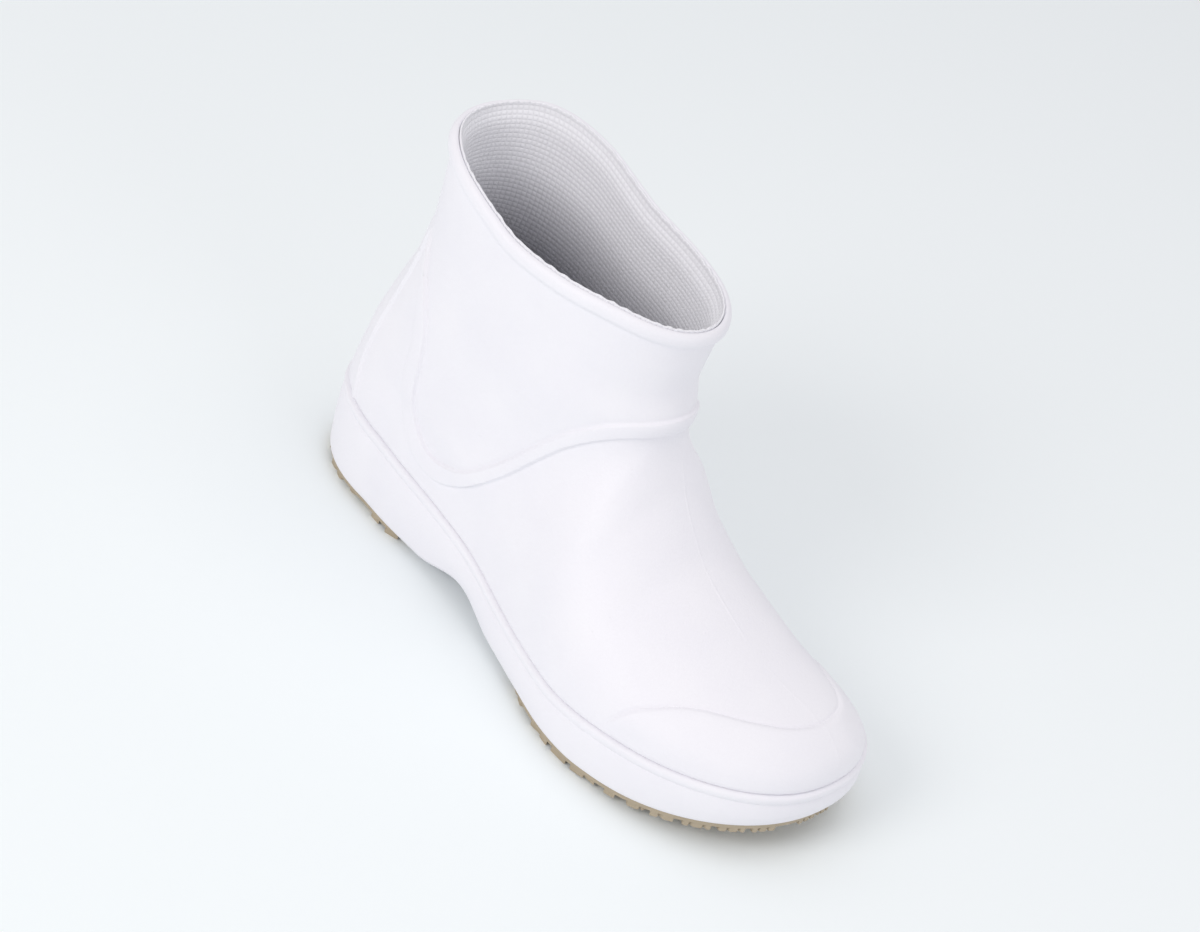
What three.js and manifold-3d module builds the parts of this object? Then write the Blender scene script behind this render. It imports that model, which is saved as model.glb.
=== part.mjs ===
// A short slip-on work boot, right foot: a moulded foam upper on a foam sole unit, two rubber tread pads
// and an insole. Millimetres, +X to the toe, +Y to the inner side of the foot, +Z up, floor at z = 0.
import * as THREE from "three";
import { mergeVertices } from "three/addons/utils/BufferGeometryUtils.js";
import Module from "manifold-3d";

const wasm = await Module();
wasm.setup();

// Sole, seen from above
const soleLength = 290;
const ballWidth = 112;
const heelWidth = 71;
const waistWidth = 64;
const heelRound = 46;
const toeRound = 78;
const heelCurve = 2.05;
const toeCurve = 2.25;

// Sole, seen from the side
const heelWall = 41.5;
const waistWall = 22.5;
const toeWall = 32.3;
const toeSpring = 14;
const springLength = 90;
const archRise = 6;
const heelBed = 21;
const ballBed = 10.5;
const lipWidth = 5.5;
const bedRound = 2.5;
const edgeRound = 3;
const wallBulge = 0.3;
const grooveDrop = 4.8;
const grooveDepth = 1.1;
const insoleThick = 4;

// Upper
const collarHeight = 181;
const collarBack = 24.5;
const collarLength = 141;
const collarWidth = 81;
const instepHeight = 118;
const toeHeight = 52;
const toeFront = 46;
const vampCurve = 2.4;
const shaftCurve = 2.3;
const heelCordReach = 100;
const shaftFadeHeight = 33;
const shaftFadeDepth = 0.6;
const ankleHollow = 0.08;
const throatHollow = 0.4;
const leanCurve = 0.8;
const upperWall = 3.5;
const upperInset = 1.5;
const beadHeight = 6.5;
const beadOut = 2.2;
const toeCapStep = 1.1;
const toeCapDepth = 17.6;
const toeCapWing = 43.5;
const toeCapCurve = 1.7;
const bandStep = 1.4;
const bandWidth = 9;
const counterStep = 0.9;

// Tread pads
const lugHeight = 2.7;
const padProud = 1.3;
const padSunk = 2.5;
const padBorder = 3.2;
const padCurve = 2.4;
const heelPadLength = 84;
const heelPadRound = 22;
const forePadLength = 141;
const forePadRound = 38;
const padEdge = 0.8;
const lugWidth = 8.7;
const lugLong = 13.2;
const lugPitch = 27.4;
const lugRow = 9.45;

const gap = 0.3;
const columns = 44;
const foamBottom = lugHeight + padProud;
const springStart = soleLength - springLength;
const heelPadFront = padBorder + heelPadLength;
const forePadBack = soleLength - padBorder - forePadLength;

// Sections of the sole's outline: at is a share of the length, half the half width, mid its middle
const outline = [
  { at: 0.0, half: 0.5 * heelWidth, mid: 0.004 * ballWidth },
  { at: 0.155, half: 0.5 * heelWidth, mid: 0.004 * ballWidth },
  { at: 0.228, half: 0.507 * heelWidth, mid: -0.004 * ballWidth },
  { at: 0.31, half: 0.523 * waistWidth, mid: -0.027 * ballWidth },
  { at: 0.393, half: 0.5 * waistWidth, mid: -0.045 * ballWidth },
  { at: 0.483, half: 0.57 * waistWidth, mid: -0.054 * ballWidth },
  { at: 0.579, half: 0.415 * ballWidth, mid: -0.036 * ballWidth },
  { at: 0.655, half: 0.473 * ballWidth, mid: -0.03 * ballWidth },
  { at: 0.714, half: 0.496 * ballWidth, mid: -0.022 * ballWidth },
  { at: 0.766, half: 0.5 * ballWidth, mid: -0.008 * ballWidth },
  { at: 0.834, half: 0.5 * ballWidth, mid: 0.009 * ballWidth },
  { at: 0.941, half: 0.5 * ballWidth, mid: 0.045 * ballWidth },
  { at: 1.0, half: 0.5 * ballWidth, mid: 0.062 * ballWidth },
];

// Height of the line between sole and upper, and thickness of the foam under the foot
const sideWall = [
  { at: 0.0, crease: heelWall, bed: heelBed },
  { at: 0.138, crease: 0.928 * heelWall, bed: 0.97 * heelBed },
  { at: 0.276, crease: 0.82 * heelWall, bed: 0.86 * heelBed },
  { at: 0.414, crease: 1.18 * waistWall, bed: 0.9 * ballBed },
  { at: 0.517, crease: waistWall, bed: ballBed },
  { at: 0.638, crease: 1.044 * waistWall, bed: ballBed },
  { at: 0.741, crease: 0.83 * toeWall, bed: ballBed },
  { at: 0.879, crease: 0.929 * toeWall, bed: 0.95 * ballBed },
  { at: 1.0, crease: toeWall, bed: 0.86 * ballBed },
];

// Ridge of the foot part, from above the ankle down to the toe
const ridge = [
  { at: 0.34, top: 0.95 * instepHeight },
  { at: 0.448, top: 0.97 * instepHeight },
  { at: 0.517, top: 0.98 * instepHeight },
  { at: 0.569, top: 0.925 * instepHeight },
  { at: 0.59, top: 0.865 * instepHeight },
  { at: 0.614, top: 0.78 * instepHeight },
  { at: 0.659, top: 0.675 * instepHeight },
  { at: 0.693, top: 0.612 * instepHeight },
  { at: 0.759, top: 1.24 * toeHeight },
  { at: 0.817, top: 1.135 * toeHeight },
  { at: 0.876, top: 1.05 * toeHeight },
  { at: 0.931, top: toeHeight },
  { at: 1.0, top: 0.96 * toeHeight },
];

// How far the inner side of the vamp leans in halfway up, as a share of its half width
const innerLean = [
  { at: 0.55, lean: 0 },
  { at: 0.603, lean: 0.06 },
  { at: 0.655, lean: 0.07 },
  { at: 0.707, lean: 0.1 },
  { at: 0.759, lean: 0.165 },
  { at: 0.81, lean: 0.195 },
  { at: 0.862, lean: 0.165 },
  { at: 0.914, lean: 0.11 },
  { at: 0.966, lean: 0.03 },
  { at: 1.0, lean: 0 },
];

// Ovals of the shaft, up from the heel: at is a share of the collar's height
const shaft = [
  { at: 0.229, back: 0.061 * collarBack, long: 0.897 * collarLength, half: 0.42 * collarWidth },
  { at: 0.387, back: 0.286 * collarBack, long: 0.957 * collarLength, half: 0.43 * collarWidth },
  { at: 0.497, back: 0.53 * collarBack, long: 1.007 * collarLength, half: 0.44 * collarWidth },
  { at: 0.608, back: 0.8 * collarBack, long: 1.02 * collarLength, half: 0.452 * collarWidth },
  { at: 0.674, back: 0.92 * collarBack, long: 1.024 * collarLength, half: 0.459 * collarWidth },
  { at: 0.746, back: collarBack, long: 0.985 * collarLength, half: 0.468 * collarWidth },
  { at: 0.829, back: 1.02 * collarBack, long: 0.99 * collarLength, half: 0.481 * collarWidth },
  { at: 0.912, back: 1.02 * collarBack, long: 0.999 * collarLength, half: 0.494 * collarWidth },
  { at: 1.0, back: collarBack, long: 1.004 * collarLength, half: 0.5 * collarWidth },
];

// Scalloped top line: at runs from the back to the front, lean is added on the inner side of the foot
const topLine = [
  { at: 0.0, top: collarHeight, lean: 0.022 * collarHeight },
  { at: 0.1, top: 1.008 * collarHeight, lean: 0.019 * collarHeight },
  { at: 0.28, top: 0.983 * collarHeight, lean: 0.003 * collarHeight },
  { at: 0.39, top: 0.958 * collarHeight, lean: -0.008 * collarHeight },
  { at: 0.5, top: 0.936 * collarHeight, lean: -0.012 * collarHeight },
  { at: 0.7, top: 0.93 * collarHeight, lean: -0.019 * collarHeight },
  { at: 0.85, top: 0.93 * collarHeight, lean: -0.024 * collarHeight },
  { at: 1.0, top: 0.92 * collarHeight, lean: -0.019 * collarHeight },
];

// Raised band on both sides, seen from the side: down from a point beside the heel cord, under the ankle and
// up to the throat; wide is a share of the band's width
const bandRoute = [
  { along: 0.128, up: 1.145, wide: 0.12 },
  { along: 0.148, up: 1.03, wide: 0.45 },
  { along: 0.169, up: 0.937, wide: 0.75 },
  { along: 0.188, up: 0.835, wide: 0.93 },
  { along: 0.196, up: 0.735, wide: 1 },
  { along: 0.199, up: 0.627, wide: 1 },
  { along: 0.21, up: 0.525, wide: 0.95 },
  { along: 0.23, up: 0.462, wide: 0.92 },
  { along: 0.255, up: 0.418, wide: 0.95 },
  { along: 0.286, up: 0.402, wide: 1 },
  { along: 0.317, up: 0.424, wide: 0.93 },
  { along: 0.355, up: 0.484, wide: 0.72 },
  { along: 0.403, up: 0.61, wide: 0.64 },
  { along: 0.44, up: 0.737, wide: 0.61 },
  { along: 0.474, up: 0.853, wide: 0.62 },
  { along: 0.512, up: 0.949, wide: 0.66 },
  { along: 0.546, up: 1.008, wide: 0.7 },
  { along: 0.6, up: 1.05, wide: 0.75 },
];

// Front edge of the back panel, seen from the side, up from the sole
const counterEdge = [
  { along: 0.1, up: 0.2 },
  { along: 0.09, up: 0.39 },
  { along: 0.081, up: 0.475 },
  { along: 0.081, up: 0.576 },
  { along: 0.084, up: 0.67 },
  { along: 0.093, up: 0.78 },
  { along: 0.104, up: 0.88 },
  { along: 0.117, up: 1.017 },
  { along: 0.127, up: 1.127 },
];

// Value of a column at a place along a table, on a smooth curve through its rows
function along(rows, column, at) {
  const last = rows.length - 1;
  const place = Math.min(Math.max(at, rows[0].at), rows[last].at);
  let i = 0;
  while (i < last - 1 && place > rows[i + 1].at) i += 1;
  const slope = (k) => {
    const before = rows[Math.max(k - 1, 0)];
    const after = rows[Math.min(k + 1, last)];
    return (after[column] - before[column]) / (after.at - before.at);
  };
  const step = rows[i + 1].at - rows[i].at;
  const t = (place - rows[i].at) / step;
  const fromFirst = (1 + 2 * t) * (1 - t) ** 2 * rows[i][column] + t * (1 - t) ** 2 * step * slope(i);
  const fromNext = t * t * (3 - 2 * t) * rows[i + 1][column] - t * t * (1 - t) * step * slope(i + 1);
  return fromFirst + fromNext;
}

function ease(t) {
  const c = Math.min(Math.max(t, 0), 1);
  return c * c * (3 - 2 * c);
}

// Power that keeps the sign, so that a form goes on falling outside its edge
function power(base, exponent) {
  return Math.sign(base) * Math.abs(base) ** exponent;
}

// Rounding of an end: 1 inside, falling to 0 at reach and below 0 past it, as a squared width
function endRound(distance, reach, roundness) {
  const t = Math.max(distance / reach, 0);
  return power(1 - t ** roundness, 2 / roundness);
}

const creaseAt = (x) => along(sideWall, "crease", x / soleLength);
const middleAt = (x) => along(outline, "mid", x / soleLength);

// Squared half width of the sole's plan, drawn in by inset
function planSquare(x, inset) {
  const p = ((x - inset) / (soleLength - 2 * inset)) * soleLength;
  const half = along(outline, "half", p / soleLength) - inset;
  const heel = endRound(heelRound - p, heelRound, heelCurve);
  const toe = endRound(p - (soleLength - toeRound), toeRound, toeCurve);
  return half * half * Math.min(heel, toe);
}

// Underside of the foam: flat at heel and ball, raised at the arch and at the toe
function underside(x) {
  const spring = toeSpring * Math.max((x - springStart) / (soleLength - springStart), 0) ** 2;
  const t = Math.min(Math.max((x - heelPadFront) / (forePadBack - heelPadFront), 0), 1);
  return foamBottom + spring + archRise * Math.sin(Math.PI * t) ** 2;
}

// Height of the foot part over the crease, which falls away at the toe
function footRise(x, inset) {
  const front = soleLength - upperInset - inset;
  const toeFall = Math.sqrt(Math.max(endRound(x - (front - toeFront), toeFront, vampCurve), 0));
  return (along(ridge, "top", x / soleLength) - inset - creaseAt(x)) * toeFall;
}

// Squared half width of the foot part at a place in the side view
function footSquare(x, z, inset) {
  const back = along(shaft, "back", z / collarHeight) - shaft[0].back;
  const shifted = x - back * (1 - ease(x / heelCordReach));
  const plan = planSquare(shifted, upperInset + inset);
  if (plan <= 0) return plan;
  const t = Math.min(Math.max((z - creaseAt(x)) / Math.max(footRise(x, inset), 0.01), 0), 3);
  return plan * (1 - t ** vampCurve);
}

// Squared half width of the shaft, which fades in above the sole
function shaftSquare(x, z, inset) {
  const at = z / collarHeight;
  const halfLong = along(shaft, "long", at) / 2 - inset;
  const centre = along(shaft, "back", at) + halfLong + inset;
  const half = along(shaft, "half", at) - inset;
  const fade = 1 - ease((z - creaseAt(x)) / shaftFadeHeight);
  return half * half * (1 - Math.abs((x - centre) / halfLong) ** shaftCurve - shaftFadeDepth * fade);
}

// Half width squared of the whole upper: the larger of the two, with a soft hollow where they meet, tight
// at the heel and wide at the throat
function upperSquare(x, z, inset) {
  const foot = footSquare(x, z, inset);
  const leg = shaftSquare(x, z, inset);
  const towardsThroat = ease((x - collarBack - 0.24 * collarLength) / (0.57 * collarLength));
  const soft = (ankleHollow + throatHollow * towardsThroat) * (collarWidth / 2) ** 2;
  const near = Math.max(soft - Math.abs(foot - leg), 0) / soft;
  return Math.max(foot, leg) + 0.25 * near * near * soft;
}

function upperMiddle(x, z) {
  return middleAt(x) * (1 - ease((z - heelWall) / (0.5 * instepHeight)));
}

// Share of the half width that the inner side of the vamp keeps at a place in the side view
function innerShare(x, z) {
  const t = Math.min(Math.max((z - creaseAt(x)) / Math.max(footRise(x, 0), 1), 0), 1);
  return 1 - along(innerLean, "lean", x / soleLength) * Math.sin(Math.PI * t) ** leanCurve;
}

// Where a falling function of x reaches zero, between a place inside and one outside
function edgeOf(square, inside, outside) {
  let a = inside;
  let b = outside;
  for (let i = 0; i < 40; i += 1) {
    const m = (a + b) / 2;
    if (square(m) > 0) a = m;
    else b = m;
  }
  return a;
}

// A closed loop of the upper: up is its share of the way from the crease to the collar bead
function upperLoop(up, lift, inset) {
  const level = (x) => {
    const top = along(topLine, "top", (x - collarBack) / collarLength) - beadHeight;
    return creaseAt(x) + up * (top - creaseAt(x)) + lift;
  };
  const square = (x) => upperSquare(x, level(x), inset);
  const inside = collarBack + 0.5 * collarLength;
  const back = edgeOf(square, inside, -soleLength);
  const front = edgeOf(square, inside, 2 * soleLength);
  const points = [];
  for (let i = 0; i < columns; i += 1) {
    const turn = (2 * Math.PI * i) / columns;
    const share = (1 - Math.cos(turn)) / 2;
    const x = back + (front - back) * share;
    const tip = i === 0 || 2 * i === columns;
    const lean = -Math.sin(turn) * along(topLine, "lean", share) * up ** 4;
    const z = level(x) + (tip ? 0 : lean);
    const side = tip ? 0 : -Math.sign(Math.sin(turn));
    const half = Math.sqrt(Math.max(upperSquare(x, z, inset), 0)) * (side > 0 ? innerShare(x, z) : 1);
    points.push([x, upperMiddle(x, z) + side * half, z]);
  }
  return points;
}

// A closed loop of the sole unit at one inset, with its height as a function of x
function soleLoop(inset, height) {
  const points = [];
  for (let i = 0; i < columns; i += 1) {
    const turn = (2 * Math.PI * i) / columns;
    const x = inset + ((soleLength - 2 * inset) * (1 - Math.cos(turn))) / 2;
    const tip = i === 0 || 2 * i === columns;
    const half = tip ? 0 : Math.sqrt(Math.max(planSquare(x, inset), 0));
    points.push([x, middleAt(x) - Math.sign(Math.sin(turn)) * half, height(x)]);
  }
  return points;
}

// Skin over a stack of loops: closed joins the last loop to the first, else both ends are filled
function skin(loops, closed) {
  const n = loops[0].length;
  const index = [];
  const rows = closed ? loops.length : loops.length - 1;
  for (let r = 0; r < rows; r += 1) {
    const a = r * n;
    const b = ((r + 1) % loops.length) * n;
    for (let i = 0; i < n; i += 1) {
      const j = (i + 1) % n;
      index.push(a + i, a + j, b + j, a + i, b + j, b + i);
    }
  }
  if (!closed) {
    const top = (loops.length - 1) * n;
    for (let i = 0; i < n / 2; i += 1) {
      const j = i + 1;
      const back = (n - i) % n;
      const next = n - j;
      if (i > 0) {
        index.push(i, back, j);
        index.push(top + i, top + j, top + back);
      }
      if (next !== j) {
        index.push(j, back, next);
        index.push(top + j, top + next, top + back);
      }
    }
  }
  const geometry = new THREE.BufferGeometry();
  geometry.setAttribute("position", new THREE.Float32BufferAttribute(loops.flat(2), 3));
  geometry.setIndex(index);
  return geometry;
}

// Solid of a closed geometry, for cutting and joining
function solid(geometry) {
  const bare = geometry.clone();
  bare.deleteAttribute("normal");
  bare.deleteAttribute("uv");
  const merged = mergeVertices(bare, 1e-4);
  return new wasm.Manifold(new wasm.Mesh({
    numProp: 3,
    vertProperties: merged.attributes.position.array,
    triVerts: new Uint32Array(merged.index.array),
  }));
}

function geometryOf(made) {
  const mesh = made.getMesh();
  const geometry = new THREE.BufferGeometry();
  geometry.setAttribute("position", new THREE.BufferAttribute(mesh.vertProperties, 3));
  geometry.setIndex(new THREE.BufferAttribute(mesh.triVerts, 1));
  return geometry.toNonIndexed();
}

// Prism of an outline of [x, y] points, from one height to another
function prism(points, low, high) {
  const shape = new THREE.Shape(points.map(([x, y]) => new THREE.Vector2(x, y)));
  const made = new THREE.ExtrudeGeometry(shape, { depth: high - low, bevelEnabled: false });
  made.translate(0, 0, low);
  return solid(made);
}

// Prism across the whole boot of an outline seen from the side, given as [x, z] points
function sidePrism(points) {
  const shape = new THREE.Shape(points.map(([x, z]) => new THREE.Vector2(x, z)));
  const made = new THREE.ExtrudeGeometry(shape, { depth: 2 * ballWidth, bevelEnabled: false });
  made.rotateX(Math.PI / 2);
  made.translate(0, ballWidth, 0);
  return solid(made);
}

// Sections of the upper from the crease to the bead, closer together where the foot meets the shaft
const heights = [
  0, 0.05, 0.1, 0.15, 0.19, 0.23, 0.275, 0.32, 0.37,
  0.43, 0.5, 0.56, 0.62, 0.68, 0.75, 0.83, 0.91, 1,
];

// Filled form of the upper, inset from its outer skin, starting at a height over the crease
function upperForm(inset, start) {
  return solid(skin(heights.map((up) => upperLoop(up, up === 0 ? start : 0, inset)), false));
}

// Overlay of one step: the layer between a larger form and one inside the wall, within a cutter
function overlay(step, cutter) {
  const backing = upperForm(upperWall / 3, -heelWall);
  return upperForm(-step, gap / 2).intersect(cutter).subtract(backing);
}

// Toe cap, seen from above: a crescent round the toe whose wings run back along both sides
function toeCap() {
  const top = soleLength - toeCapDepth;
  const centre = middleAt(top) + upperInset;
  const wide = 1.3;
  const points = [];
  const count = 20;
  for (let i = 0; i <= count; i += 1) {
    const share = wide * ((2 * i) / count - 1);
    const reach = Math.abs(share) ** toeCapCurve;
    points.push([top - toeCapWing * reach, centre + (share * ballWidth) / 2]);
  }
  const ahead = soleLength + ballWidth;
  points.push([ahead, points.at(-1)[1]], [ahead, points[0][1]]);
  return overlay(toeCapStep, prism(points, 0, collarHeight));
}

const sideView = (rows) => rows.map(({ along: x, up }) => [x * soleLength, up * instepHeight]);

// Band: a strip along its route, tapered to a point at its upper back end
function band() {
  const wide = bandRoute.map((row) => row.wide * bandWidth);
  const route = sideView(bandRoute).map(([x, z], i) => new THREE.Vector3(x, z, wide[i]));
  const curve = new THREE.CatmullRomCurve3(route);
  const count = 26;
  const edge = (side) => Array.from({ length: count + 1 }, (_, i) => {
    const at = curve.getPointAt(i / count);
    const way = curve.getTangentAt(i / count);
    const half = (side * at.z) / 2 / Math.hypot(way.x, way.y);
    return [at.x - way.y * half, at.y + way.x * half];
  });
  return overlay(bandStep, sidePrism([...edge(-1), ...edge(1).reverse()]));
}

// Back panel between the sole and the top of the band
function counter() {
  const points = sideView(counterEdge);
  const behind = -ballWidth;
  const top = points.at(-1)[1];
  return overlay(counterStep, sidePrism([[behind, 0], [points[0][0], 0], ...points, [behind, top]]));
}

// Upper: outer skin from the crease up, rolled bead, and inner skin down again
function upperShell() {
  const seat = gap / 2;
  const outer = heights.map((up) => upperLoop(up, up === 0 ? seat : 0, 0));
  const bead = [
    { lift: 0.1, out: 0.72 },
    { lift: 0.35, out: 1 },
    { lift: 0.72, out: 0.9 },
    { lift: 0.95, out: 0.35 },
    { lift: 1, out: -0.4 },
  ].map(({ lift, out }) => upperLoop(1, lift * beadHeight, -out * beadOut));
  const lip = [
    upperLoop(1, 0.9 * beadHeight, 0.9 * upperWall),
    upperLoop(1, 0.6 * beadHeight, upperWall),
  ];
  const inner = heights
    .filter((up, i) => i % 2 === 0 && up > 0)
    .reverse()
    .map((up) => upperLoop(up, 0, upperWall));
  inner.push(upperLoop(0, seat, upperWall));
  return solid(skin([...outer, ...bead, ...lip, ...inner], true));
}

// Sole unit: underside, bulging side wall, groove and small bead, lip under the upper, and the foot bed
function soleUnit() {
  const under = (drop) => (x) => underside(x) + drop;
  const wall = (share) => (x) => underside(x) + share * (creaseAt(x) - underside(x));
  const below = (drop) => (x) => creaseAt(x) - drop;
  const bed = (lift) => (x) => underside(x) + along(sideWall, "bed", x / soleLength) + lift;
  const lip = upperInset + lipWidth;
  return solid(skin([
    soleLoop(edgeRound, under(0)),
    soleLoop(0.53 * edgeRound, under(0.27 * edgeRound)),
    soleLoop(0.23 * edgeRound, under(1.07 * edgeRound)),
    soleLoop(-wallBulge, wall(0.5)),
    soleLoop(0.45 * grooveDepth, below(1.38 * grooveDrop)),
    soleLoop(grooveDepth, below(grooveDrop)),
    soleLoop(0.1 * grooveDepth, below(0.79 * grooveDrop)),
    soleLoop(-0.7 * wallBulge, below(0.5 * grooveDrop)),
    soleLoop(wallBulge, below(0.2 * grooveDrop)),
    soleLoop(upperInset, below(gap / 2)),
    soleLoop(lip, below(gap / 2)),
    soleLoop(lip + 0.4 * bedRound, bed(bedRound)),
    soleLoop(lip + bedRound, bed(0)),
  ], false));
}

// Insole: a thin sheet that lies on the foot bed, with a rounded edge
function insoleSheet() {
  const inset = upperInset + lipWidth + bedRound + gap;
  const bed = (lift) => (x) => underside(x) + along(sideWall, "bed", x / soleLength) + gap + lift;
  return solid(skin([
    soleLoop(inset, bed(0)),
    soleLoop(inset, bed(0.7 * insoleThick)),
    soleLoop(inset + 0.25 * insoleThick, bed(insoleThick)),
  ], false));
}

// Outline of a tread pad between two places along the sole, drawn in by margin
function padOutline(pad, margin) {
  const points = [];
  const count = 34;
  const back = pad.back + margin;
  const front = pad.front - margin;
  for (let i = 0; i < count; i += 1) {
    const turn = (2 * Math.PI * i) / count;
    const x = back + ((front - back) * (1 - Math.cos(turn))) / 2;
    const rear = endRound(back + pad.backRound - x, pad.backRound, padCurve);
    const fore = endRound(x - front + pad.frontRound, pad.frontRound, padCurve);
    const square = planSquare(x, padBorder + margin) * Math.max(Math.min(rear, fore), 0);
    points.push([x, middleAt(x) - Math.sign(Math.sin(turn)) * Math.sqrt(Math.max(square, 0))]);
  }
  return points;
}

// Layer that follows the underside of the sole under a pad, from low to high above it
function layer(pad, low, high) {
  const steps = 8;
  const bend = Math.min(Math.max(springStart, pad.back), pad.front);
  const stations = [pad.back - padBorder, pad.front + padBorder];
  for (let i = 0; i < steps && bend < pad.front; i += 1) {
    stations.splice(-1, 0, bend + ((pad.front - bend) * i) / (steps - 1));
  }
  const loops = stations.map((x) => {
    const z = underside(Math.min(Math.max(x, pad.back), pad.front));
    return [
      [x, -ballWidth, z + low],
      [x, ballWidth, z + low],
      [x, ballWidth, z + high],
      [x, -ballWidth, z + high],
    ];
  });
  return solid(skin(loops, false));
}

// The two pads: an end that follows the sole's own outline needs next to no rounding of its own
const ownRound = 1;
const heelPad = { back: padBorder, front: heelPadFront, backRound: ownRound, frontRound: heelPadRound };
const forePad = {
  back: forePadBack,
  front: soleLength - padBorder,
  backRound: forePadRound,
  frontRound: ownRound,
};

function inOutline(points, x, y) {
  let inside = false;
  points.forEach(([ax, ay], i) => {
    const [bx, by] = points[(i + 1) % points.length];
    if (ay > y !== by > y && x < ax + ((y - ay) * (bx - ax)) / (by - ay)) inside = !inside;
  });
  return inside;
}

// One lug: a round or long post through the whole tread depth
function lug(x, y, long) {
  const sides = 8;
  const points = [];
  for (let i = 0; i < sides; i += 1) {
    const turn = (2 * Math.PI * (i + 0.5)) / sides;
    const side = (Math.sign(Math.cos(turn)) * (long - lugWidth)) / 2;
    points.push([x + side + (lugWidth / 2) * Math.cos(turn), y + (lugWidth / 2) * Math.sin(turn)]);
  }
  return prism(points, -soleLength, soleLength);
}

// Tread pad: a base let into the foam, and rows of long and round lugs, each row shifted by a third
function treadPad(pad) {
  const outer = prism(padOutline(pad, 0), -soleLength, soleLength);
  const base = layer(pad, -padProud, padSunk).intersect(outer);
  const edge = padOutline(pad, lugWidth / 4);
  let posts = null;
  const rows = Math.ceil(ballWidth / lugRow / 2);
  for (let row = -rows; row <= rows; row += 1) {
    const y = row * lugRow;
    const shift = (((row % 3) + 3) % 3) * (lugPitch / 3);
    for (let i = Math.floor(pad.back / lugPitch) - 1; i * lugPitch < pad.front + lugPitch; i += 1) {
      for (const [step, long] of [[0, lugLong], [lugPitch / 2, lugWidth]]) {
        const x = i * lugPitch + shift + step;
        if (!inOutline(edge, x, y)) continue;
        const post = lug(x, y, long);
        posts = posts ? posts.add(post) : post;
      }
    }
  }
  const tread = layer(pad, -padProud - lugHeight, 0);
  const inside = prism(padOutline(pad, padEdge), -soleLength, soleLength);
  return base.add(posts.intersect(tread).intersect(inside));
}

// Pocket in the foam that a pad sits in
function pocket(pad) {
  const outer = prism(padOutline(pad, -gap), -soleLength, soleLength);
  return layer(pad, -foamBottom, padSunk + gap).intersect(outer);
}

const finish = {
  foam: new THREE.MeshStandardMaterial({ color: 0xf3f3f8, roughness: 0.62, metalness: 0 }),
  rubber: new THREE.MeshStandardMaterial({ color: 0xa39681, roughness: 0.75, metalness: 0 }),
  sheet: new THREE.MeshStandardMaterial({ color: 0xe9e9ee, roughness: 0.85, metalness: 0 }),
};

function piece(name, made, material) {
  const mesh = new THREE.Mesh(geometryOf(made), material);
  mesh.name = name;
  return mesh;
}

const boot = new THREE.Group();
boot.add(piece("upper", upperShell().add(toeCap()).add(band()).add(counter()), finish.foam));
boot.add(piece("midsole", soleUnit().subtract(pocket(heelPad)).subtract(pocket(forePad)), finish.foam));
boot.add(piece("insole", insoleSheet(), finish.sheet));
boot.add(piece("outsole_heel", treadPad(heelPad), finish.rubber));
boot.add(piece("outsole_forefoot", treadPad(forePad), finish.rubber));

const box = new THREE.Box3().setFromObject(boot);
boot.position.set(-(box.min.x + box.max.x) / 2, -(box.min.y + box.max.y) / 2, -box.min.z);

export default boot;
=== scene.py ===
# Short slip-on work boot, right foot: moulded white foam with studded rubber pads and a knitted lining.
# Forms are worked out in millimetres from the heel (x to the toe, y to the inner side, z up), and placed
# in metres.
import math

import bmesh
import bpy
import numpy as np
from mathutils import Matrix, Vector


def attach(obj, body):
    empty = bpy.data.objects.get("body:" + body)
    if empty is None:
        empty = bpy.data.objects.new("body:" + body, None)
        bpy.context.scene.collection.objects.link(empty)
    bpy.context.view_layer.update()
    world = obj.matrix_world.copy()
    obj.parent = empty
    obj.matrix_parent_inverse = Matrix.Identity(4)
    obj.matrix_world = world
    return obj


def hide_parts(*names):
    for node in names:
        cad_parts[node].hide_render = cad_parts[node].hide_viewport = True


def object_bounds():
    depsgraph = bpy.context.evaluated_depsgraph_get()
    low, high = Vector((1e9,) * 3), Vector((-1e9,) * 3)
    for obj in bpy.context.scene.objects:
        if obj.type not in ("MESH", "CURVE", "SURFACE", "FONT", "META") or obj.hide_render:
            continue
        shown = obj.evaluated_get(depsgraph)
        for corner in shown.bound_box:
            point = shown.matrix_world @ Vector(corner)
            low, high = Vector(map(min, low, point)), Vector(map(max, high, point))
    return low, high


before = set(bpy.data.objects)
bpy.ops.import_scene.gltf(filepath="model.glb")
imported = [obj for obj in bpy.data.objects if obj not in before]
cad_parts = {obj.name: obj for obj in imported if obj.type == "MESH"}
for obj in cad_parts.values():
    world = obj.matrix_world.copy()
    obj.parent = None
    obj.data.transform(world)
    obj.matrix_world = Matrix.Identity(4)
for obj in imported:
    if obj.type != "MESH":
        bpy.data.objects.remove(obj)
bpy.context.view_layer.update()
millimetre = 0.001

# The last: lengths of the boot that several pieces follow
last = {
    "length": 290,
    "middle": (145.0, -1.518),
    "heelRound": 46,
    "toeRound": 78,
    "heelCurve": 2.05,
    "toeCurve": 2.25,
    "toeSpring": 14,
    "springStart": 200,
    "archRise": 6,
    "archStart": 87.2,
    "archEnd": 145.8,
    "foamBottom": 4,
    "heelWall": 41.5,
    "collarHeight": 181,
    "collarBack": 24.5,
    "collarLength": 141,
    "collarWidth": 81,
    "instep": 118,
    "toeFront": 46,
    "vampCurve": 2.4,
    "shaftCurve": 2.3,
    "heelCordReach": 100,
    "shaftFadeHeight": 33,
    "shaftFadeDepth": 0.6,
    "ankleHollow": 0.08,
    "throatHollow": 0.4,
    "throatFrom": 0.24,
    "throatReach": 0.57,
    "leanCurve": 0.8,
    "outerCurve": 2.0,
    "outerFrom": 160,
    "outerReach": 45,
    "wall": 3.5,
    "inset": 1.5,
    "bead": 6.5,
    "beadOut": 2.2,
    "seat": 0.15,
    "gap": 0.3,
}


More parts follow.
